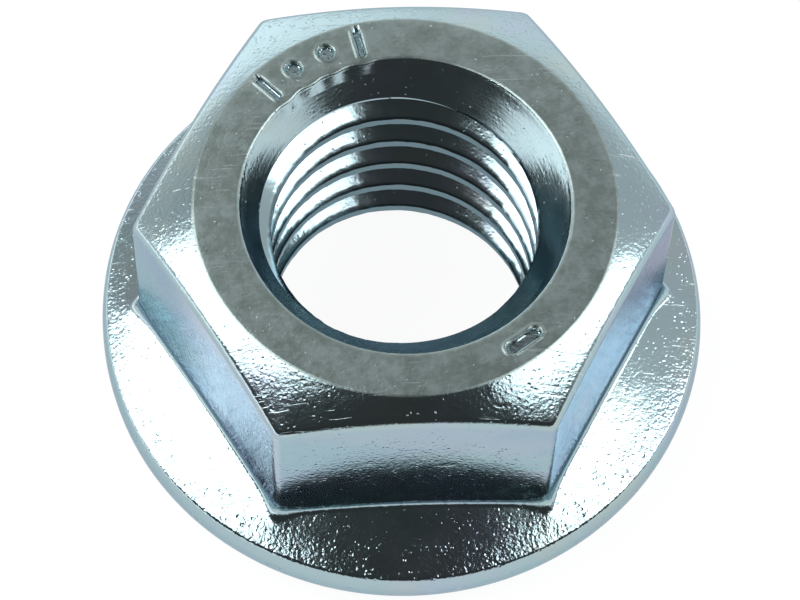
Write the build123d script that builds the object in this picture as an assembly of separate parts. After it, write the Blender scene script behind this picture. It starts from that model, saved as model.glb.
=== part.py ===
from build123d import *
import math
import os

# A serrated hexagon flange nut, M10 x 1.5, forged in one piece.
# Millimetres. The origin is the centre of the bearing face and +Z runs up the thread axis.
# The corners of the hexagon lie on the X axis and at every 60 degrees from it.

# Overall sizes
nut_height = 9.65
across_flats = 15.0
bore_radius = 4.25             # minor radius of the M10 x 1.5 thread
hexagon_corner_radius = 0.3

# Top face
top_ring_radius = 6.67         # where the flat ring ends and the chamfer starts
top_mouth_radius = 5.27        # countersink at the top face
chamfer_slope = 28.0           # degrees from the horizontal
top_countersink_slope = 50.0   # degrees from the horizontal
bottom_countersink_slope = 45.0
crown_edge_radius = 0.25       # between the chamfer and the flats
ring_edge_radius = 0.12        # the two rims of the flat ring

# Flange
flange_radius = 10.0
rim_crest_height = 1.78        # height at which the rim is widest
rim_top = (9.85, 2.46)         # radius and height of the rim's upper edge
rim_bottom = (9.8, 1.12)       # radius and height of the rim's lower edge
flange_slope = 16.0            # degrees, from the rim up to the hexagon
foot_radius = 0.12             # between the flats and the flange

# Underside
bearing_outer_radius = 9.1
recess_radius = 6.1
recess_depth = 0.45
bottom_mouth_radius = 5.25
tooth_count = 36
groove_depth_ratio = 0.045     # groove depth for each millimetre of radius
steep_flank_angle = 2.0        # degrees of arc that the locking flank takes
ramp_angle = 6.0               # degrees of arc that the sliding flank takes


def turned(points):
    """Revolve a closed outline of (radius, height) points about the thread axis."""
    outline = Plane.XZ * Polygon(*points, align=None)
    return revolve(outline, Axis.Z)


def hexagon_body():
    """Hexagon with its corners rounded and its top turned to a chamfer."""
    base = RegularPolygon(across_flats / 2, 6, major_radius=False)
    prism = extrude(base, nut_height)
    prism = fillet(prism.edges().filter_by(Axis.Z), hexagon_corner_radius)
    reach = across_flats
    drop = (reach - top_ring_radius) * math.tan(math.radians(chamfer_slope))
    crown = turned([
        (0, nut_height),
        (top_ring_radius, nut_height),
        (reach, nut_height - drop),
        (reach, -1),
        (0, -1),
    ])
    body = prism & crown
    crown_edges = body.edges().filter_by(lambda e: e.center().Z > nut_height / 2)
    crown_edges = crown_edges.filter_by(lambda e: Vertex(e @ 0).Z < nut_height - 0.05)
    crown_edges = crown_edges.filter_by(lambda e: abs((e @ 0).Z - (e @ 1).Z) < 0.01)
    return fillet(crown_edges, crown_edge_radius)


def flange_body():
    """Collar with a bulged rim, a sloped top and an underside bevelled in to the bearing face."""
    inner_radius = across_flats / 2 - 1.5
    rise = (rim_top[0] - inner_radius) * math.tan(math.radians(flange_slope))
    outline = Polyline(
        rim_top,
        (inner_radius, rim_top[1] + rise),
        (0, rim_top[1] + rise),
        (0, 0),
        (bearing_outer_radius, 0),
        rim_bottom,
    )
    rim = ThreePointArc(rim_bottom, (flange_radius, rim_crest_height), rim_top)
    section = Plane.XZ * make_face(outline + rim)
    return revolve(section, Axis.Z)


def bore_cutter():
    """Plain bore at the thread's minor radius, with a countersink at both faces."""
    top_slope = math.tan(math.radians(top_countersink_slope))
    bottom_slope = math.tan(math.radians(bottom_countersink_slope))
    overrun = 0.5
    return turned([
        (0, -overrun),
        (bottom_mouth_radius + overrun / bottom_slope, -overrun),
        (bore_radius, (bottom_mouth_radius - bore_radius) * bottom_slope),
        (bore_radius, nut_height - (top_mouth_radius - bore_radius) * top_slope),
        (top_mouth_radius + overrun / top_slope, nut_height + overrun),
        (0, nut_height + overrun),
    ])


def groove_section(distance):
    """Saw-tooth section of a serration groove at a distance from the axis."""
    plane = Plane(origin=(distance, 0, 0), x_dir=(0, 1, 0), z_dir=(1, 0, 0))
    depth = distance * groove_depth_ratio
    steep = distance * math.tan(math.radians(steep_flank_angle))
    ramp = distance * math.tan(math.radians(ramp_angle))
    overrun = 0.5
    return plane * Polygon(
        (-steep * (1 + overrun), -depth * overrun),
        (0, depth),
        (ramp * (1 + overrun), -depth * overrun),
        align=None,
    )


def serration_cutters():
    """One groove after each tooth: its steep flank locks when the nut is turned loose."""
    groove = loft([groove_section(recess_radius - 1), groove_section(flange_radius + 1)], ruled=True)
    return [Rot(0, 0, 360 / tooth_count * tooth) * groove for tooth in range(tooth_count)]


def ring_rims(body):
    """The two circles that bound the flat ring on top."""
    top_edges = body.edges().filter_by(GeomType.CIRCLE)
    return top_edges.filter_by(lambda e: abs(e.center().Z - nut_height) < 0.001)


def foot_edges(body):
    """The chain of edges where the hexagon stands on the flange."""
    def on_foot(edge):
        point = edge @ 0.5
        away = math.hypot(point.X, point.Y)
        cone_height = rim_top[1] + (rim_top[0] - away) * math.tan(math.radians(flange_slope))
        return abs(point.Z - cone_height) < 0.02 and away < across_flats * 0.6
    return body.edges().filter_by(on_foot)


def flange_nut():
    body = hexagon_body() + flange_body()
    body = fillet(foot_edges(body), foot_radius)
    body -= turned([
        (0, -1),
        (recess_radius, -1),
        (recess_radius, recess_depth),
        (0, recess_depth),
    ])
    body -= bore_cutter()
    body = fillet(ring_rims(body), ring_edge_radius)
    body -= serration_cutters()
    return body


os.makedirs("parts", exist_ok=True)
export_step(flange_nut(), "parts/flange_nut.step")
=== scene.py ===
import bisect
import math

import bmesh
import bpy
from mathutils import Matrix, Vector, noise


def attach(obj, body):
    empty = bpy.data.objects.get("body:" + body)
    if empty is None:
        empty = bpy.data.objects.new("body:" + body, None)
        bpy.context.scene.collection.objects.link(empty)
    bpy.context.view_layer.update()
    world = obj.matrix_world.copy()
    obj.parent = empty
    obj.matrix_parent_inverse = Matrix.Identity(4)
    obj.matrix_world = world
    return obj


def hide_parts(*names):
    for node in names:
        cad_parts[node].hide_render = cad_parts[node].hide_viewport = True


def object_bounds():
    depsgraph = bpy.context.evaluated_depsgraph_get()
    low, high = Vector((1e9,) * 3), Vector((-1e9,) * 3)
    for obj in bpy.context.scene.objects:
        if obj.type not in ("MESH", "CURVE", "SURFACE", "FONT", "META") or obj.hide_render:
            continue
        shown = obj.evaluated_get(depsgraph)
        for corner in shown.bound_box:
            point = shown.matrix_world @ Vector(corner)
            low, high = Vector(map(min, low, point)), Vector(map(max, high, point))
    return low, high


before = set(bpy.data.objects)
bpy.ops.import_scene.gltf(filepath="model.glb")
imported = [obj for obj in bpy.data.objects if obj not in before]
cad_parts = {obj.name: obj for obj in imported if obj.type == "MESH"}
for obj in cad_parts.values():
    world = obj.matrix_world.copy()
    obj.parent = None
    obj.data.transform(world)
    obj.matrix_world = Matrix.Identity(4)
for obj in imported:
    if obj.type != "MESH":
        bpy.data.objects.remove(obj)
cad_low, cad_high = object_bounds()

# A serrated hexagon flange nut, zinc plated and passivated, modelled over its CAD solid.
# Sizes are in millimetres until a mesh is finished; mm takes them to Blender's metres.
# The thread axis is Z, the bearing face lies at height 0 and the hexagon's corners start on X.

mm = 0.001

# ---------------------------------------------------------------- sizes
mark_lip = 0.02                 # metal raised round each punch mark, up to the solid's top
nut_height = (cad_high.z - cad_low.z) / mm - mark_lip
flat_distance = 7.5             # half the width across flats
corner_rounding = 0.28          # the hexagon's upright edges

ring_radius = 6.67              # outer rim of the flat ring on top
ring_rounding = 0.16
chamfer_slope = math.tan(math.radians(28))
crown_rounding = 0.42           # between the chamfer and the flats
foot_rounding = 0.24            # between the flats and the flange
corner_foot = 0.4               # so much more rounding under each corner
corner_foot_width = math.radians(3.6)

flange_radius = (cad_high.x - cad_low.x) / 2 / mm
flange_slope = math.tan(math.radians(16))
rim_crest_height = 1.78         # where the rim is widest
rim_top = Vector((9.85, 2.46))  # radius and height of the rim's two edges
rim_bottom = Vector((9.8, 1.12))
rim_top_rounding = 0.2
rim_bottom_rounding = 0.12
rim_bulge_rows = (0.72, 0.4, 0.0, -0.4, -0.75)   # heights on the bulge, as shares of its upper half
rim_dip = 0.1                   # the forging die didn't fill quite out to the rim here
rim_dip_angle = math.radians(185)
rim_dip_width = math.radians(28)

bearing_radius = 9.1
bearing_rounding = 0.05
recess_radius = 6.1
recess_depth = 0.45
tooth_count = 36
groove_ratio = 0.045            # groove depth for each millimetre of radius
steep_flank = 2.0               # degrees of arc of the locking flank
ramp_flank = 6.0                # degrees of arc of the sliding flank

mouth_radius = 5.27             # countersink at the top face
mouth_rounding = 0.15
countersink_slope = math.tan(math.radians(50))
bottom_mouth_radius = 5.25
bottom_mouth_rounding = 0.1
bottom_countersink_slope = math.tan(math.radians(45))

thread_pitch = 1.5
thread_crest_radius = 4.25
thread_root_radius = 5.0
thread_flank_slope = math.tan(math.radians(30))
thread_rounding_steps = 2
thread_phase = 7.25             # height of a crest where the wall crosses the Y axis
thread_span = (0.7, nut_height - 0.34)   # the thread's rows lie between these heights
run_out_span = (8.35, 8.85)     # the topmost groove dies away where its middle passes these
crest_width = 0.32
crest_rounding = 0.04
root_rounding = 0.06
crest_burr = 0.016              # how unevenly the tap leaves the crests
burr_reach = 0.35               # and how far out from the crest that shows
burr_fineness = 16              # about so many burrs to each radian round the crest
burr_stretch = 4                # millimetres of height that count as one radian
lip_width = 0.05                # where a groove meets the countersink, its lip is broken
lip_depths = (0.49, 1.3)        # but only between these depths under the top
meeting_halvings = 12           # how often the search for that meeting is halved

mark_circle = 6.0               # the punch marks' middles lie on this radius
mark_depth = 0.11
mark_wall = 0.1
mark_lip_offset = 0.09
mark_lip_spread = 0.05
mark_sectors = [(math.radians(96), math.radians(140)), (math.radians(-66), math.radians(-44))]
mouth_push = 0.08               # how far the marks push metal into the mouth of the hole
mouth_push_angles = (133, 122, 113, 102)
mouth_push_width = math.radians(3.2)
mouth_push_height = 0.3

outer_steps = 720
bore_steps = 360
ring_seam_radius = 5.44         # where the outer skin meets the bore's skin, on the flat ring
recess_seam_radius = 5.6        # and where they meet again, in the recess below
stamped_ring = (5.5, 6.48)      # the part of the flat ring that the punch marks lie in
stamped_spoke_cuts = 24
stamped_arc_cuts = 1
row_gap = 1e-4                  # keeps rows that share a place apart while they are spun
spoke_least = 0.01              # an edge that runs outwards by more than this is a spoke
smallest_rise = 1e-9
level_tolerance = 1e-4
seam_tolerance = 1e-3
same_place = 2e-5
sharp_angle = math.radians(18)


# ---------------------------------------------------------------- sections
def turned_by(vector, angle):
    return Matrix.Rotation(angle, 2) @ vector


def rounded(corners):
    """Points of an open (radius, height) outline with its corners rounded.

    Each corner is (radius, height, rounding, steps)."""
    points = []
    for index, (radius, height, rounding, steps) in enumerate(corners):
        here = Vector((radius, height))
        if not rounding:
            points.append(here)
            continue
        back = (Vector(corners[index - 1][:2]) - here).normalized()
        ahead = (Vector(corners[index + 1][:2]) - here).normalized()
        half = back.angle(ahead) / 2
        reach = rounding / math.tan(half)
        centre = here + (back + ahead).normalized() * (rounding / math.sin(half))
        spoke = here + back * reach - centre
        sweep = -spoke.angle_signed(here + ahead * reach - centre)
        points += [centre + turned_by(spoke, sweep * step / steps) for step in range(steps + 1)]
    return points


def smooth_step(value, low, high):
    share = min(max((value - low) / (high - low), 0.0), 1.0)
    return share * share * (3 - 2 * share)


def near(angle, place, width):
    """Falls from 1 where angle is at place to 0 about two widths away."""
    away = (angle - place + math.pi) % (2 * math.pi) - math.pi
    return math.exp(-(away / width) ** 2)


def from_corner(angle):
    """Angle from the nearest corner of the hexagon, on either side of it."""
    return (angle + math.pi / 6) % (math.pi / 3) - math.pi / 6


def hexagon_reach(angle):
    """Distance of the hexagon's side from the axis in a direction, corners rounded."""
    off_corner = abs(from_corner(angle))
    centre = (flat_distance - corner_rounding) / math.cos(math.pi / 6)
    tangent = math.atan2(corner_rounding / 2, centre + corner_rounding * math.cos(math.pi / 6))
    if off_corner > tangent:
        return flat_distance / math.cos(math.pi / 6 - off_corner)
    across = centre * math.sin(off_corner)
    return centre * math.cos(off_corner) + math.sqrt(corner_rounding ** 2 - across ** 2)


def foot_rounding_at(angle):
    """The fillet at the flats' foot, which swells to a small foot under each corner."""
    return foot_rounding + corner_foot * math.exp(-(from_corner(angle) / corner_foot_width) ** 2)


def groove_share(angle):
    """Depth of the serration in a direction, as a share of its full depth."""
    tooth_pitch = 360 / tooth_count
    place = math.degrees(angle) % tooth_pitch
    if place > tooth_pitch - steep_flank:
        return (place - tooth_pitch + steep_flank) / steep_flank
    return max(0.0, 1 - place / ramp_flank)


def outer_section(angle):
    """The nut's outer side from the ring on top, over the rim, to the recess below."""
    side = hexagon_reach(angle)
    edge_height = nut_height - (side - ring_radius) * chamfer_slope
    foot_height = rim_top.y + (rim_top.x - side) * flange_slope
    rim_inset = rim_dip * near(angle, rim_dip_angle, rim_dip_width)
    groove = groove_ratio * groove_share(angle)
    bevel = rim_bottom.y / (rim_bottom.x - bearing_radius)
    bearing_edge = bearing_radius * bevel / (bevel - groove)
    corners = [
        (ring_seam_radius, nut_height, 0, 0),
        (stamped_ring[0], nut_height, 0, 0),
        (stamped_ring[1], nut_height, 0, 0),
        (ring_radius, nut_height, ring_rounding, 3),
        (side, edge_height, crown_rounding, 7),
        (side, foot_height, foot_rounding_at(angle), 6),
        (rim_top.x - rim_inset, rim_top.y, rim_top_rounding, 4),
    ]
    bulge = flange_radius - rim_top.x
    for share in rim_bulge_rows:
        height = rim_crest_height + share * (rim_top.y - rim_crest_height)
        corners.append((flange_radius - rim_inset - bulge * share * share, height, 0, 0))
    corners += [
        (rim_bottom.x - rim_inset, rim_bottom.y, rim_bottom_rounding, 3),
        (bearing_edge, groove * bearing_edge, bearing_rounding, 2),
        (recess_radius, groove * recess_radius, 0, 0),
        (recess_radius, recess_depth, 0, 0),
        (recess_seam_radius, recess_depth, 0, 0),
    ]
    return rounded(corners)


def thread_turn():
    """One pitch of the thread as (radius, height) from the foot of a crest upwards."""
    flank = (thread_root_radius - thread_crest_radius) * thread_flank_slope
    crest_end = crest_width / 2
    root_start = crest_end + flank
    root_end = thread_pitch - root_start
    steps = thread_rounding_steps
    outline = rounded([
        (thread_root_radius, -root_start, 0, 0),
        (thread_crest_radius, -crest_end, crest_rounding, steps),
        (thread_crest_radius, crest_end, crest_rounding, steps),
        (thread_root_radius, root_start, root_rounding, steps),
        (thread_root_radius, root_end, root_rounding, steps),
        (thread_crest_radius, thread_pitch - crest_end, 0, 0),
    ])[1:-1]
    crest_points = 2 * (steps + 1)
    crest, root = outline[:crest_points], outline[crest_points:]
    next_crest = crest[0] + Vector((0, thread_pitch))
    flank_shares = (0.25, 0.5, 0.75)
    upper_flank = [crest[-1].lerp(root[0], share) for share in flank_shares]
    lower_flank = [root[-1].lerp(next_crest, share) for share in flank_shares]
    return crest + upper_flank + root + lower_flank


thread_rows = thread_turn()
thread_heights = [row.y for row in thread_rows] + [thread_rows[0].y + thread_pitch]
thread_radii = [row.x for row in thread_rows] + [thread_rows[0].x]


def thread_radius(height, crest):
    """Radius of the thread's surface at a height, where the lowest crest stands at another."""
    turns, place = divmod(height - crest - thread_heights[0], thread_pitch)
    place += thread_heights[0]
    index = min(max(bisect.bisect_right(thread_heights, place), 1), len(thread_heights) - 1)
    below, above = thread_heights[index - 1], thread_heights[index]
    share = (place - below) / max(above - below, smallest_rise)
    radius = thread_radii[index - 1] + (thread_radii[index] - thread_radii[index - 1]) * share
    depth = 1 - smooth_step(crest + (turns + 0.5) * thread_pitch, *run_out_span)
    return thread_crest_radius + (radius - thread_crest_radius) * depth


def cone_radius(height):
    """Radius of whichever countersink is the wider at a height."""
    return max(mouth_radius - (nut_height - height) / countersink_slope,
               bottom_mouth_radius - height / bottom_countersink_slope)


bottom_rows = rounded([
    (recess_seam_radius, recess_depth, 0, 0),
    (cone_radius(recess_depth), recess_depth, bottom_mouth_rounding, 3),
    (cone_radius(thread_span[0]), thread_span[0], 0, 0),
])
top_rows = rounded([
    (cone_radius(thread_span[1]), thread_span[1], 0, 0),
    (mouth_radius, nut_height, mouth_rounding, 5),
    (ring_seam_radius, nut_height, 0, 0),
])
helix_heights = [
    row.y + turn * thread_pitch
    for turn in range(math.ceil(nut_height / thread_pitch) + 1) for row in thread_rows
]


def burr(angle, height, radius):
    """Unevenness that the tap left on the crests; it fades towards the roots."""
    spot = Vector((math.cos(angle), math.sin(angle), height / burr_stretch)) * burr_fineness
    crest_shade_share = 1 - smooth_step(radius, thread_crest_radius, thread_crest_radius + burr_reach)
    return crest_burr * noise.noise(spot) * crest_shade_share


def broken_lip(meeting):
    """The two corners of the small facet where a groove cuts the countersink at a height."""
    radius = cone_radius(meeting) + lip_width
    return (Vector((radius, meeting - lip_width * thread_flank_slope)),
            Vector((radius, meeting + lip_width * countersink_slope)))


def bore_section(angle):
    """The bore's wall from the recess below up to the ring: countersinks and thread."""
    low, high = thread_span
    crest = thread_phase % thread_pitch - thread_pitch
    crest += thread_pitch * (angle - math.pi / 2) / (2 * math.pi)
    heights = [height + crest for height in helix_heights]

    def clearance(height):
        return thread_radius(height, crest) - cone_radius(height)

    # Where the thread passes into a countersink, the nearest row is moved to the meeting.
    gaps = [clearance(height) for height in heights]
    lips = {}
    for index in range(1, len(heights)):
        below, above = heights[index - 1], heights[index]
        if above < low or below > high or gaps[index - 1] * gaps[index] >= 0:
            continue
        for _ in range(meeting_halvings):
            middle = (below + above) / 2
            if gaps[index - 1] * clearance(middle) > 0:
                below = middle
            else:
                above = middle
        lower_is_nearer = above - heights[index - 1] < heights[index] - above
        moved = index - 1 if lower_is_nearer else index
        heights[moved] = above
        if gaps[index - 1] > 0 and lip_depths[0] < nut_height - above < lip_depths[1]:
            lips[moved - 1], lips[moved] = broken_lip(above)

    points = []
    for index, height in enumerate(heights):
        if index in lips:
            points.append(lips[index])
            continue
        height = min(max(height, low), high)
        radius = thread_radius(height, crest)
        radius += burr(angle, height, radius)
        points.append(Vector((max(radius, cone_radius(height)), height)))
    return bottom_rows + points + top_rows


# ---------------------------------------------------------------- punch marks
def punch_mark(degrees, half_length, half_width, across=False):
    """A round-ended mark that lies along the radius, or across it."""
    angle = math.radians(degrees)
    middle = Vector((mark_circle * math.cos(angle), mark_circle * math.sin(angle)))
    heading = angle + (math.pi / 2 if across else 0)
    return middle, Vector((math.cos(heading), math.sin(heading))), half_length, half_width


punch_marks = [
    punch_mark(134.2, half_length=0.42, half_width=0.10),
    punch_mark(124.0, half_length=0.0, half_width=0.24),
    punch_mark(112.6, half_length=0.0, half_width=0.24),
    punch_mark(101.8, half_length=0.42, half_width=0.10),
    punch_mark(-55.0, half_length=0.45, half_width=0.17, across=True),
]


def sunk_by(x, y):
    """Height change of the ring's face at a point, from all the punch marks."""
    change = 0.0
    for middle, heading, half_length, half_width in punch_marks:
        offset = Vector((x, y)) - middle
        run = min(max(offset.dot(heading), -half_length), half_length)
        outside = (offset - heading * run).length - half_width
        change -= mark_depth * smooth_step(-outside, -mark_wall / 2, mark_wall / 2)
        change += mark_lip * math.exp(-((outside - mark_lip_offset) / mark_lip_spread) ** 2)
    return change


def pushed_in(angle):
    """How far the metal beside the punch marks leans into the mouth of the hole."""
    return sum(mouth_push * near(angle, math.radians(place), mouth_push_width)
               for place in mouth_push_angles)


# ---------------------------------------------------------------- mesh
def spun_skin(section, steps, closed):
    """Spin a section's rows round the axis, then set each row where its section has it."""
    skin = bmesh.new()
    row_number = skin.verts.layers.int.new("row")
    chain = []
    for number, (radius, height) in enumerate(section(0.0)):
        vert = skin.verts.new((radius + row_gap * number, 0, height))
        vert[row_number] = number
        chain.append(vert)
    edges = [skin.edges.new(pair) for pair in zip(chain, chain[1:])]
    bmesh.ops.spin(skin, geom=chain + edges, cent=(0, 0, 0), axis=(0, 0, 1), dvec=(0, 0, 0),
                   angle=2 * math.pi, steps=steps, use_merge=closed, use_duplicate=False)
    rows = len(chain)
    skin.verts.ensure_lookup_table()
    for index, vert in enumerate(skin.verts):
        angle = 2 * math.pi * (index // rows) / steps
        if index % rows == 0:
            points = section(angle)
        radius, height = points[vert[row_number]]
        vert.co = (radius * math.cos(angle), radius * math.sin(angle), height)
    return skin


def open_rim(skin, radius):
    """The open edges that lie on a circle of a radius."""
    return [edge for edge in skin.edges if edge.is_boundary
            and all(abs(vert.co.xy.length - radius) < seam_tolerance for vert in edge.verts)]


def stamp_ring(skin):
    """Divide the ring finely where the punch marks lie, then sink them."""
    def stamped_faces():
        faces = []
        for face in skin.faces:
            centre = face.calc_center_median()
            level = centre.z > nut_height - level_tolerance
            if level and stamped_ring[0] < centre.xy.length < stamped_ring[1]:
                angle = math.atan2(centre.y, centre.x)
                if any(low < angle < high for low, high in mark_sectors):
                    faces.append(face)
        return faces

    def is_spoke(edge):
        return abs(edge.verts[0].co.xy.length - edge.verts[1].co.xy.length) > spoke_least

    for spokes, cuts in ((True, stamped_spoke_cuts), (False, stamped_arc_cuts)):
        edges = dict.fromkeys(edge for face in stamped_faces() for edge in face.edges
                              if is_spoke(edge) == spokes)
        bmesh.ops.subdivide_edges(skin, edges=list(edges), cuts=cuts, use_grid_fill=True)

    lean_floor = nut_height - mouth_push_height
    for vert in skin.verts:
        if vert.co.z < lean_floor or vert.co.xy.length > ring_radius:
            continue
        angle = math.atan2(vert.co.y, vert.co.x)
        if vert.co.z > nut_height - level_tolerance:
            vert.co.z += sunk_by(vert.co.x, vert.co.y)
        lean = pushed_in(angle) * smooth_step(vert.co.z, lean_floor, nut_height)
        lean *= 1 - smooth_step(vert.co.xy.length, mouth_radius, stamped_ring[0])
        vert.co.xy *= 1 - lean / vert.co.xy.length


def joined(outer, bore):
    """Take the bore's skin into the outer skin and close both seams."""
    carrier = bpy.data.meshes.new("bore_skin")
    bore.to_mesh(carrier)
    bore.free()
    outer.from_mesh(carrier)
    bpy.data.meshes.remove(carrier)
    for seam_radius in (ring_seam_radius, recess_seam_radius):
        bmesh.ops.bridge_loops(outer, edges=open_rim(outer, seam_radius))
    return outer


bore_skin = spun_skin(bore_section, bore_steps, closed=False)
bmesh.ops.remove_doubles(bore_skin, verts=bore_skin.verts, dist=same_place)
nut_skin = joined(spun_skin(outer_section, outer_steps, closed=True), bore_skin)
stamp_ring(nut_skin)
bmesh.ops.recalc_face_normals(nut_skin, faces=nut_skin.faces)
for edge in nut_skin.edges:
    edge.smooth = edge.is_manifold and edge.calc_face_angle(0) < sharp_angle
for face in nut_skin.faces:
    face.smooth = True
bmesh.ops.scale(nut_skin, vec=(mm, mm, mm), verts=nut_skin.verts)

nut_mesh = bpy.data.meshes.new("nut_body")
nut_skin.to_mesh(nut_mesh)
nut_skin.free()
nut = bpy.data.objects.new("nut_body", nut_mesh)
bpy.context.scene.collection.objects.link(nut)
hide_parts("flange_nut")
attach(nut, "root")


# ---------------------------------------------------------------- finish
zinc_colour = (0.37, 0.495, 0.53, 1)
patch_lilac = (0.43, 0.46, 0.62, 1)
patch_straw = (0.46, 0.50, 0.44, 1)
film_green = (0.37, 0.515, 0.545, 1)
film_lilac = (0.40, 0.485, 0.56, 1)
film_blue = (0.32, 0.45, 0.56, 1)
# painted highlight: the pale colour given to the left flats
painted_highlight_silver = (0.82, 0.77, 0.86, 1)
# painted shade: the dark colour given to the foot of the left flats
painted_shade_dusk = (0.18, 0.18, 0.32, 1)
# painted shade: the dark violet and navy colours given to the right flats
painted_shade_violet = (0.20, 0.15, 0.28, 1)
painted_shade_navy = (0.11, 0.15, 0.25, 1)
ring_dark = (0.285, 0.36, 0.345, 1)
ring_pale = (0.375, 0.465, 0.46, 1)
# painted shade: the dark colour given to the thread's crests
crest_painted_shade = (0.16, 0.23, 0.26, 1)
scratch_colour = (0.50, 0.58, 0.60, 1)
grazing_tint = (0.60, 0.68, 0.74, 1)

# Where each surface starts and is fully itself
ring_face_heights = (nut_height - 0.05, nut_height - 0.012)
hole_radii = (mouth_radius - 0.02, mouth_radius - 0.12)
crest_shade_radii = (thread_crest_radius + 0.10, thread_crest_radius + 0.05)
flat_tilts = (0.25, 0.08)       # upward share of the normal
flat_heights = (2.7, 3.0)
flat_radii = (6.8, 7.2)
rim_grain_radii = (8.5, 9.6)

bumps_per_mm = 8.0
pit_share = 0.8
rim_grain_gain = 1.4            # the forging is rougher towards the rim
hole_grain_loss = 0.7
ring_grain_loss = 0.4
turned_lines_per_mm = 9.0
turned_line_depth = 0.3
specks_per_mm = 4.8
mottle_per_mm = 1.5
gloss_patches_per_mm = 1.3
body_roughness = (0.10, 0.09)   # what the patches add, and the least
ring_roughness = (0.14, 0.28)
speck_roughness = 0.34
scratch_strength = 0.6
bump_distance = 0.006 * mm


def feed(tree, socket, value):
    """Put a plain value on a socket, or link another socket to it."""
    if isinstance(value, bpy.types.NodeSocket):
        tree.links.new(value, socket)
    else:
        socket.default_value = value


def math_node(tree, operation, first, second=0.0, third=0.0):
    node = tree.nodes.new("ShaderNodeMath")
    node.operation = operation
    for socket, value in zip(node.inputs, (first, second, third)):
        feed(tree, socket, value)
    return node.outputs[0]


def product(tree, first, second):
    return math_node(tree, "MULTIPLY", first, second)


def vector_node(tree, operation, *values):
    node = tree.nodes.new("ShaderNodeVectorMath")
    node.operation = operation
    for socket, value in zip(node.inputs, values):
        feed(tree, socket, value)
    return node


def ramp_node(tree, value, low, high, to_low=0.0, to_high=1.0):
    """Value eased from one range to another, clamped at both ends."""
    node = tree.nodes.new("ShaderNodeMapRange")
    node.interpolation_type = "SMOOTHSTEP"
    for socket, given in zip(node.inputs, (value, low, high, to_low, to_high)):
        feed(tree, socket, given)
    return node.outputs["Result"]


def blend_values(tree, share, first, second):
    """Mix two numbers, which a Mix node keeps on its sockets 2 and 3."""
    node = tree.nodes.new("ShaderNodeMix")
    for index, value in ((0, share), (2, first), (3, second)):
        feed(tree, node.inputs[index], value)
    return node.outputs[0]


def blend_colours(tree, share, first, second):
    """Mix two colours, which a Mix node keeps on its sockets 6 and 7."""
    node = tree.nodes.new("ShaderNodeMix")
    node.data_type = "RGBA"
    for index, value in ((0, share), (6, first), (7, second)):
        feed(tree, node.inputs[index], value)
    return node.outputs[2]


def noise_node(tree, place, scale, detail=2.0, roughness=0.5, output="Fac"):
    node = tree.nodes.new("ShaderNodeTexNoise")
    feed(tree, node.inputs["Vector"], place)
    feed(tree, node.inputs["Scale"], scale)
    feed(tree, node.inputs["Detail"], detail)
    feed(tree, node.inputs["Roughness"], roughness)
    return node.outputs[output]


def stretched(tree, place, x, y, z, turned=0.0):
    """A place scaled along each axis and then turned about Z, for a pattern to read."""
    node = tree.nodes.new("ShaderNodeMapping")
    node.inputs["Rotation"].default_value = (0, 0, turned)
    node.inputs["Scale"].default_value = (x, y, z)
    tree.links.new(place, node.inputs["Vector"])
    return node.outputs["Vector"]


def split_up(tree, vector):
    node = tree.nodes.new("ShaderNodeSeparateXYZ")
    tree.links.new(vector, node.inputs[0])
    return node.outputs


def effect_group(name, inputs, outputs):
    """A shader node group with its named sockets: (name, kind, value where unlinked)."""
    group = bpy.data.node_groups.new(name, "ShaderNodeTree")
    for socket, kind, value in inputs:
        made = group.interface.new_socket(socket, in_out="INPUT", socket_type=kind)
        if value is not None:
            made.default_value = value
    for socket, kind in outputs:
        group.interface.new_socket(socket, in_out="OUTPUT", socket_type=kind)
    return group, group.nodes.new("NodeGroupInput").outputs, group.nodes.new("NodeGroupOutput").inputs


def placed(tree, group, **values):
    """Put an effect group in a material; an underscore stands for a space in a socket's name."""
    node = tree.nodes.new("ShaderNodeGroup")
    node.node_tree = group
    for name, value in values.items():
        feed(tree, node.inputs[name.replace("_", " ")], value)
    return node.outputs


def plate_grain_group():
    """Orange-peel skin of the plated forging: fine bumps with small pits between them."""
    group, given, made = effect_group(
        "plate_grain",
        [("Place", "NodeSocketVector", None), ("Bumps per mm", "NodeSocketFloat", 7.0),
         ("Pits", "NodeSocketFloat", 0.5)],
        [("Height", "NodeSocketFloat")])
    fine = noise_node(group, given["Place"], given["Bumps per mm"])
    broad = noise_node(group, given["Place"], product(group, given["Bumps per mm"], 0.3))
    cells = group.nodes.new("ShaderNodeTexVoronoi")
    cells.feature = "SMOOTH_F1"
    feed(group, cells.inputs["Smoothness"], 0.6)
    feed(group, cells.inputs["Vector"], given["Place"])
    feed(group, cells.inputs["Scale"], product(group, given["Bumps per mm"], 0.8))
    pit_radii, pitted_patches = (0.08, 0.45), (0.42, 0.62)
    pit = ramp_node(group, cells.outputs["Distance"], *pit_radii, to_low=1.0, to_high=0.0)
    pit = product(group, pit, ramp_node(group, broad, *pitted_patches))
    sunk = product(group, pit, given["Pits"])
    height = math_node(group, "MULTIPLY_ADD", broad, 1.2, fine)
    feed(group, made["Height"], math_node(group, "SUBTRACT", height, sunk))
    return group


def passivation_group():
    """The passivation's colour: pale blue zinc that drifts to lilac and to straw in patches."""
    group, given, made = effect_group(
        "passivation_tint",
        [("Place", "NodeSocketVector", None), ("Zinc", "NodeSocketColor", None),
         ("Lilac", "NodeSocketFloat", 0.35), ("Straw", "NodeSocketFloat", 0.3)],
        [("Color", "NodeSocketColor")])
    elsewhere = vector_node(group, "ADD", given["Place"], (31.0, 17.0, 5.0)).outputs[0]
    lilac = ramp_node(group, noise_node(group, given["Place"], 0.33, roughness=0.6), 0.5, 0.68)
    straw = ramp_node(group, noise_node(group, elsewhere, 0.28, roughness=0.6), 0.52, 0.7)
    tone = blend_colours(group, product(group, lilac, given["Lilac"]), given["Zinc"], patch_lilac)
    tone = blend_colours(group, product(group, straw, given["Straw"]), tone, patch_straw)
    feed(group, made["Color"], tone)
    return group


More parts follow.
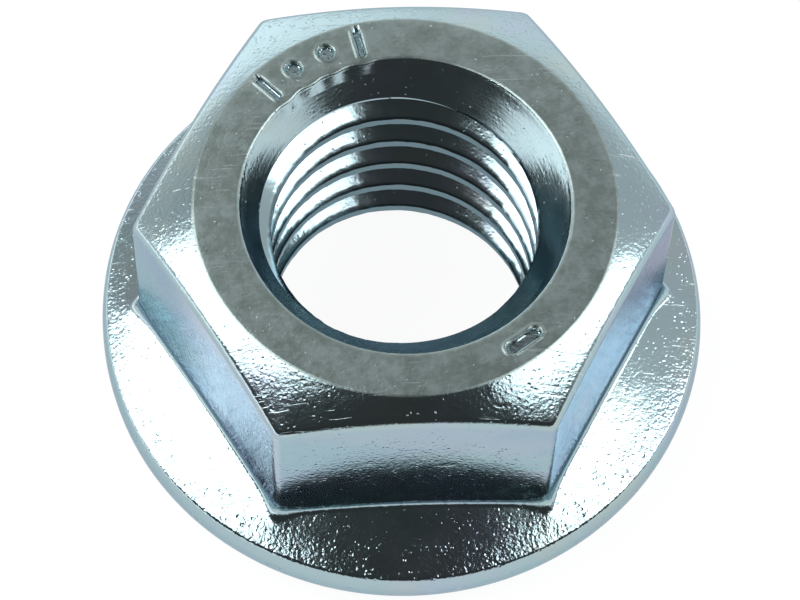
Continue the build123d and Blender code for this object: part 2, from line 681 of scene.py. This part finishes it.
def speckle_group():
    """Scattered small pits, thick in some patches and rare in others."""
    group, given, made = effect_group(
        "plate_specks",
        [("Place", "NodeSocketVector", None), ("Specks per mm", "NodeSocketFloat", 2.6),
         ("Pit Depth", "NodeSocketFloat", 2.2)],
        [("Mask", "NodeSocketFloat"), ("Depth", "NodeSocketFloat")])
    wobble = noise_node(group, given["Place"], 16.0, output="Color")
    ragged = vector_node(group, "MULTIPLY_ADD", wobble, (0.09, 0.09, 0.09), given["Place"])
    cells = group.nodes.new("ShaderNodeTexVoronoi")
    feed(group, cells.inputs["Vector"], ragged.outputs[0])
    feed(group, cells.inputs["Scale"], given["Specks per mm"])
    chance = group.nodes.new("ShaderNodeSeparateColor")
    feed(group, chance.inputs[0], cells.outputs["Color"])
    patches = noise_node(group, given["Place"], 0.6, detail=3.0, roughness=0.6)
    share_present = ramp_node(group, patches, 0.4, 0.65, to_low=0.12, to_high=0.7)
    present = math_node(group, "LESS_THAN", chance.outputs["Red"], share_present)
    least_size, size_spread = 0.07, 0.14
    size = math_node(group, "MULTIPLY_ADD", chance.outputs["Green"], size_spread, least_size)
    mask = product(group, ramp_node(group, cells.outputs["Distance"], size, 0.0), present)
    feed(group, made["Mask"], mask)
    feed(group, made["Depth"], product(group, mask, given["Pit Depth"]))
    return group


def flat_film_and_painted_light_group():
    """Thicker passivation film on the flats, with painted light on them.

    It is thin and green in front; the left flats are painted silvery, a painted highlight,
    with painted shade at their foot, and the right ones are painted violet and navy, a painted dark
    reflection."""
    group, given, made = effect_group(
        "flat_film_and_painted_light", [("Place", "NodeSocketVector", None)], [("Color", "NodeSocketColor")])
    across, _, height = split_up(group, given["Place"])
    place = stretched(group, given["Place"], 0.16, 0.16, 0.42)
    elsewhere = vector_node(group, "ADD", place, (7.0, 3.0, 11.0)).outputs[0]
    lilac = ramp_node(group, noise_node(group, place, 1.0, detail=3.0, roughness=0.55), 0.42, 0.6)
    blue = ramp_node(group, noise_node(group, elsewhere, 1.3, detail=3.0, roughness=0.6), 0.45, 0.62)
    tone = blend_colours(group, lilac, film_green, film_lilac)
    tone = blend_colours(group, product(group, blue, 0.4), tone, film_blue)

    # The left flats reach from -8.66 to -4.33 along X, and the right ones from 4.33 to 8.66.
    # Painted highlight: the left flats are painted silvery, a painted reflection of the bright light
    # on that side.
    highlight_fade, highlight_edge = (-6.2, -7.6), (-4.1, -4.6)
    painted_highlight_share = product(group, ramp_node(group, across, *highlight_fade, to_low=0.8, to_high=0.0),
                      ramp_node(group, across, *highlight_edge))
    tone = blend_colours(group, painted_highlight_share, tone, painted_highlight_silver)

    # Painted shade: the foot of the left flats is darkened, a painted reflection of the shaded floor
    # beside the nut.
    foot_shade_heights, foot_shade_fade, foot_shade_edge = (5.4, 4.2), (-8.4, -5.8), (-4.2, -4.5)
    wavering = math_node(group, "MULTIPLY_ADD", blue, 0.7, height)
    foot_shade_share = product(group, ramp_node(group, wavering, *foot_shade_heights, to_high=0.6),
                   ramp_node(group, across, *foot_shade_fade))
    foot_shade_share = product(group, foot_shade_share, ramp_node(group, across, *foot_shade_edge))
    tone = blend_colours(group, foot_shade_share, tone, painted_shade_dusk)

    # Painted shade: the right flats are darkened to violet and navy, a painted dark reflection.
    right_edge = (4.25, 4.7)
    dark_reflection_share = ramp_node(group, across, *right_edge, to_high=0.74)
    painted_dark_reflection = blend_colours(group, blue, painted_shade_violet, painted_shade_navy)
    tone = blend_colours(group, dark_reflection_share, tone, painted_dark_reflection)
    feed(group, made["Color"], tone)
    return group


def scratch_group():
    """Thin handling scratches in two directions, and only in some patches."""
    group, given, made = effect_group(
        "handling_marks", [("Place", "NodeSocketVector", None)], [("Mask", "NodeSocketFloat")])
    lines = []
    for turned, along in ((0.5, 0.5), (2.1, 0.35)):
        place = stretched(group, given["Place"], along, 7.0, 1.0, turned)
        lines.append(ramp_node(group, noise_node(group, place, 1.0, roughness=0.6), 0.64, 0.70))
    both = math_node(group, "MAXIMUM", *lines)
    patches = ramp_node(group, noise_node(group, given["Place"], 0.5), 0.45, 0.6)
    feed(group, made["Mask"], product(group, both, patches))
    return group


def zinc_plate():
    """Bright zinc on the forging, worn on the ring, with turned marks in the hole."""
    material = bpy.data.materials.new("zinc_plate")
    material.use_nodes = True
    tree = material.node_tree
    shader = tree.nodes["Principled BSDF"].inputs
    shader["Metallic"].default_value = 1
    shader["Specular Tint"].default_value = grazing_tint

    surface = tree.nodes.new("ShaderNodeTexCoord").outputs
    per_mm = 1 / mm
    place = stretched(tree, surface["Object"], per_mm, per_mm, per_mm)
    height = split_up(tree, place)["Z"]
    level_place = stretched(tree, surface["Object"], per_mm, per_mm, 0)
    from_axis = vector_node(tree, "LENGTH", level_place).outputs["Value"]

    on_ring = ramp_node(tree, height, *ring_face_heights)
    in_hole = ramp_node(tree, from_axis, *hole_radii)
    crest_shade_share = ramp_node(tree, from_axis, *crest_shade_radii)
    tilt = math_node(tree, "ABSOLUTE", split_up(tree, surface["Normal"])["Z"])
    on_flat = product(tree, ramp_node(tree, tilt, *flat_tilts), ramp_node(tree, height, *flat_heights))
    on_flat = product(tree, on_flat, ramp_node(tree, from_axis, *flat_radii))

    grain = placed(tree, plate_grain_group(), Place=place, Bumps_per_mm=bumps_per_mm, Pits=pit_share)
    specks = placed(tree, speckle_group(), Place=place, Specks_per_mm=specks_per_mm)
    scratches = placed(tree, scratch_group(), Place=place)
    scuffed = product(tree, scratches["Mask"], math_node(tree, "SUBTRACT", 1.0, in_hole))
    mottle = noise_node(tree, place, mottle_per_mm, detail=5.0, roughness=0.72)

    tint = placed(tree, passivation_group(), Place=place, Zinc=zinc_colour)
    # Film colour of the flats, which carries a painted highlight on the left flats and painted shade
    # on the right ones and at the left flats' foot.
    film_and_painted_light = placed(tree, flat_film_and_painted_light_group(), Place=place)
    worn = blend_colours(tree, ramp_node(tree, mottle, 0.36, 0.64), ring_dark, ring_pale)
    colour = blend_colours(tree, on_flat, tint["Color"], film_and_painted_light["Color"])
    colour = blend_colours(tree, on_ring, colour, worn)
    # Painted shade: the thread's crests are darkened, a painted dark reflection of the shaded floor
    # under the nut.
    colour = blend_colours(tree, crest_shade_share, colour, crest_painted_shade)
    colour = blend_colours(tree, product(tree, scuffed, scratch_strength), colour, scratch_colour)
    feed(tree, shader["Base Color"], colour)

    patches = noise_node(tree, place, gloss_patches_per_mm, detail=3.0, roughness=0.6)
    body_rough = math_node(tree, "MULTIPLY_ADD", patches, *body_roughness)
    ring_rough = math_node(tree, "MULTIPLY_ADD", mottle, *ring_roughness)
    rough = blend_values(tree, on_ring, body_rough, ring_rough)
    feed(tree, shader["Roughness"], blend_values(tree, specks["Mask"], rough, speck_roughness))

    turned_place = tree.nodes.new("ShaderNodeCombineXYZ")
    feed(tree, turned_place.inputs["X"], from_axis)
    feed(tree, turned_place.inputs["Z"], height)
    turned_lines = noise_node(
        tree, turned_place.outputs[0], turned_lines_per_mm, detail=3.0, roughness=0.6)
    turned_share = product(tree, math_node(tree, "MAXIMUM", in_hole, on_ring), turned_line_depth)
    grain_share = math_node(tree, "SUBTRACT", 1.0, product(tree, in_hole, hole_grain_loss))
    grain_share = math_node(tree, "SUBTRACT", grain_share, product(tree, on_ring, ring_grain_loss))
    rim_grain = ramp_node(tree, from_axis, *rim_grain_radii, to_high=rim_grain_gain)
    grain_share = math_node(tree, "ADD", grain_share, rim_grain)
    relief = product(tree, grain["Height"], grain_share)
    relief = math_node(tree, "MULTIPLY_ADD", turned_lines, turned_share, relief)
    relief = math_node(tree, "SUBTRACT", relief, specks["Depth"])
    relief = math_node(tree, "MULTIPLY_ADD", scuffed, -scratch_strength, relief)
    bump = tree.nodes.new("ShaderNodeBump")
    feed(tree, bump.inputs["Strength"], 1.0)
    feed(tree, bump.inputs["Distance"], bump_distance)
    feed(tree, bump.inputs["Height"], relief)
    feed(tree, shader["Normal"], bump.outputs["Normal"])
    return material


nut.data.materials.append(zinc_plate())

# ---------------------------------------------------------------- stage and light
camera_turn = math.radians(-4.906)   # the camera and its lights stand this far round from -Y
floor_gap = 0.02                     # keeps the floor off the bearing face
floor_half_width = 1.5               # metres, as are the tent and the lamps below
floor_colour = (0.88, 0.88, 0.88, 1)
floor_glow = 1.06
floor_glow_share = 0.87              # the rest of what is seen of the floor holds the shadow
tent_size = (2.9, 2.9, 0.27)
lamp_height = 0.25
lamp_radiance = 3.2
room_light = 0.05                    # what the tent gives on its dark side
world_light = 0.4
white = 1.0


def staged(name, shape, paint_nodes):
    """A stage object from a bmesh, with a paint whose nodes the given function makes."""
    mesh = bpy.data.meshes.new(name)
    shape.to_mesh(mesh)
    shape.free()
    thing = bpy.data.objects.new(name, mesh)
    bpy.context.scene.collection.objects.link(thing)
    paint = bpy.data.materials.new(name)
    paint.use_nodes = True
    paint_nodes(paint.node_tree)
    mesh.materials.append(paint)
    return thing


def seen_directly_or_mirrored(tree):
    """1 for camera, glossy and transmission rays."""
    path = tree.nodes.new("ShaderNodeLightPath").outputs
    seen = math_node(tree, "MAXIMUM", path["Is Camera Ray"], path["Is Glossy Ray"])
    return math_node(tree, "MAXIMUM", seen, path["Is Transmission Ray"])


def floor_paint(tree):
    shade = tree.nodes["Principled BSDF"]
    shade.inputs["Base Color"].default_value = floor_colour
    shade.inputs["Roughness"].default_value = 1.0
    shade.inputs["Specular IOR Level"].default_value = 0.0
    glow = tree.nodes.new("ShaderNodeEmission")
    glow.inputs["Strength"].default_value = floor_glow
    mix = tree.nodes.new("ShaderNodeMixShader")
    feed(tree, mix.inputs[0], product(tree, seen_directly_or_mirrored(tree), floor_glow_share))
    feed(tree, mix.inputs[1], shade.outputs[0])
    feed(tree, mix.inputs[2], glow.outputs[0])
    feed(tree, tree.nodes["Material Output"].inputs["Surface"], mix.outputs[0])


def tent_paint(tree):
    """Bright at the horizon, grey above it, dark overhead and on the camera's side."""
    surface = tree.nodes.new("ShaderNodeTexCoord").outputs
    direction = vector_node(tree, "NORMALIZE", surface["Object"]).outputs[0]
    right, back, up = split_up(tree, direction)
    level_squared = math_node(tree, "SUBTRACT", 1.0, math_node(tree, "POWER", up, 2.0))
    level = math_node(tree, "SQRT", level_squared)
    right = math_node(tree, "DIVIDE", right, level)
    back = math_node(tree, "DIVIDE", back, level)

    # Heights and bearings are parts of a unit direction, from 0 at the horizon to 1 overhead.
    wall_top, wall_level = (0.78, 0.97), 0.62
    left_bearings, left_heights, left_level = (-0.3, -0.8), (0.35, 0.65), 0.55
    wall = ramp_node(tree, up, *wall_top, to_low=wall_level, to_high=0.0)
    high_on_the_left = product(tree, ramp_node(tree, right, *left_bearings),
                               ramp_node(tree, up, *left_heights))
    dimmed = ramp_node(tree, high_on_the_left, 0.0, 1.0, to_low=1.0, to_high=left_level)
    wall = product(tree, wall, dimmed)

    horizon_heights, glow_bearings = (0.10, 0.36), (0.1, -0.4)
    right_glow, left_glow = 0.55, 1.2
    horizon = ramp_node(tree, up, *horizon_heights, to_low=1.0, to_high=0.0)
    horizon_glow = ramp_node(tree, right, *glow_bearings, to_low=right_glow, to_high=left_glow)
    glow_level = math_node(tree, "MULTIPLY_ADD", horizon, horizon_glow, wall)

    horizon_wrap, lit_bearings = 0.70, (-0.45, -0.05)   # the horizon's glow reaches round further
    behind = math_node(tree, "MULTIPLY_ADD", horizon, horizon_wrap, back)
    lit_side = ramp_node(tree, behind, *lit_bearings)
    glow = tree.nodes.new("ShaderNodeEmission")
    feed(tree, glow.inputs["Strength"],
         math_node(tree, "MULTIPLY_ADD", glow_level, lit_side, room_light))
    feed(tree, tree.nodes["Material Output"].inputs["Surface"], glow.outputs[0])


def softbox(right, back, length, width, turned=0.0):
    """An area lamp overhead; sizes and place are shares of its height."""
    lamp_data = bpy.data.lights.new("softbox", "AREA")
    lamp_data.shape = "RECTANGLE"
    lamp_data.size = length * lamp_height
    lamp_data.size_y = width * lamp_height
    lamp_data.energy = lamp_radiance * math.pi * lamp_data.size * lamp_data.size_y
    lamp = bpy.data.objects.new("softbox", lamp_data)
    lamp.location = Matrix.Rotation(camera_turn, 3, "Z") @ Vector((right, back, 1)) * lamp_height
    lamp.rotation_euler.z = camera_turn + turned
    lamp.visible_camera = False
    bpy.context.scene.collection.objects.link(lamp)


floor_shape = bmesh.new()
bmesh.ops.create_grid(floor_shape, x_segments=1, y_segments=1, size=floor_half_width)
floor = staged("floor", floor_shape, floor_paint)
floor.location.z = -floor_gap * mm

tent_shape = bmesh.new()
bmesh.ops.create_cube(tent_shape, size=1)
underside = min(tent_shape.faces, key=lambda face: face.calc_center_median().z)
bmesh.ops.delete(tent_shape, geom=[underside], context="FACES_ONLY")
bmesh.ops.translate(tent_shape, vec=(0, 0, 0.5), verts=tent_shape.verts)
bmesh.ops.scale(tent_shape, vec=tent_size, verts=tent_shape.verts)
tent = staged("studio_tent", tent_shape, tent_paint)
tent.rotation_euler.z = camera_turn
tent.visible_camera = False
tent.visible_diffuse = False
tent.visible_shadow = False

softbox(right=1.21, back=0.10, length=1.7, width=0.56, turned=math.radians(24))
softbox(right=-1.11, back=0.04, length=1.6, width=0.90)

world = bpy.data.worlds.new("studio")
bpy.context.scene.world = world
world.use_nodes = True
sky = world.node_tree
backdrop = sky.nodes["Background"].inputs
backdrop["Color"].default_value = (1, 1, 1, 1)
feed(sky, backdrop["Strength"], math_node(
    sky, "MULTIPLY_ADD", seen_directly_or_mirrored(sky), white - world_light, world_light))

# ---------------------------------------------------------------- camera
camera_distance = 127.5
camera_elevation = math.radians(64)
camera_azimuth = camera_turn - math.pi / 2
camera_roll = math.radians(-2.618)
focal_pixels = 3781.5
image_width = 800
content_shift_x = -0.63              # pixels that the lens shift moves the nut by
content_shift_y = 37.0
nearest_seen = 0.001                 # metres
farthest_seen = 10

outward = Vector((
    math.cos(camera_azimuth) * math.cos(camera_elevation),
    math.sin(camera_azimuth) * math.cos(camera_elevation),
    math.sin(camera_elevation),
))
level_right = Vector((-math.sin(camera_azimuth), math.cos(camera_azimuth), 0))
level_up = outward.cross(level_right)
right = level_right * math.cos(camera_roll) - level_up * math.sin(camera_roll)
up = level_right * math.sin(camera_roll) + level_up * math.cos(camera_roll)

camera_data = bpy.data.cameras.new("camera")
camera_data.lens = focal_pixels * camera_data.sensor_width / image_width
camera_data.shift_x = -content_shift_x / image_width
camera_data.shift_y = content_shift_y / image_width
camera_data.clip_start = nearest_seen
camera_data.clip_end = farthest_seen
camera = bpy.data.objects.new("camera", camera_data)
bpy.context.scene.collection.objects.link(camera)
axes = Matrix((right, up, outward)).transposed().to_4x4()
camera.matrix_world = Matrix.Translation(outward * camera_distance * mm) @ axes
bpy.context.scene.camera = camera
bpy.context.scene.view_settings.view_transform = "Standard"
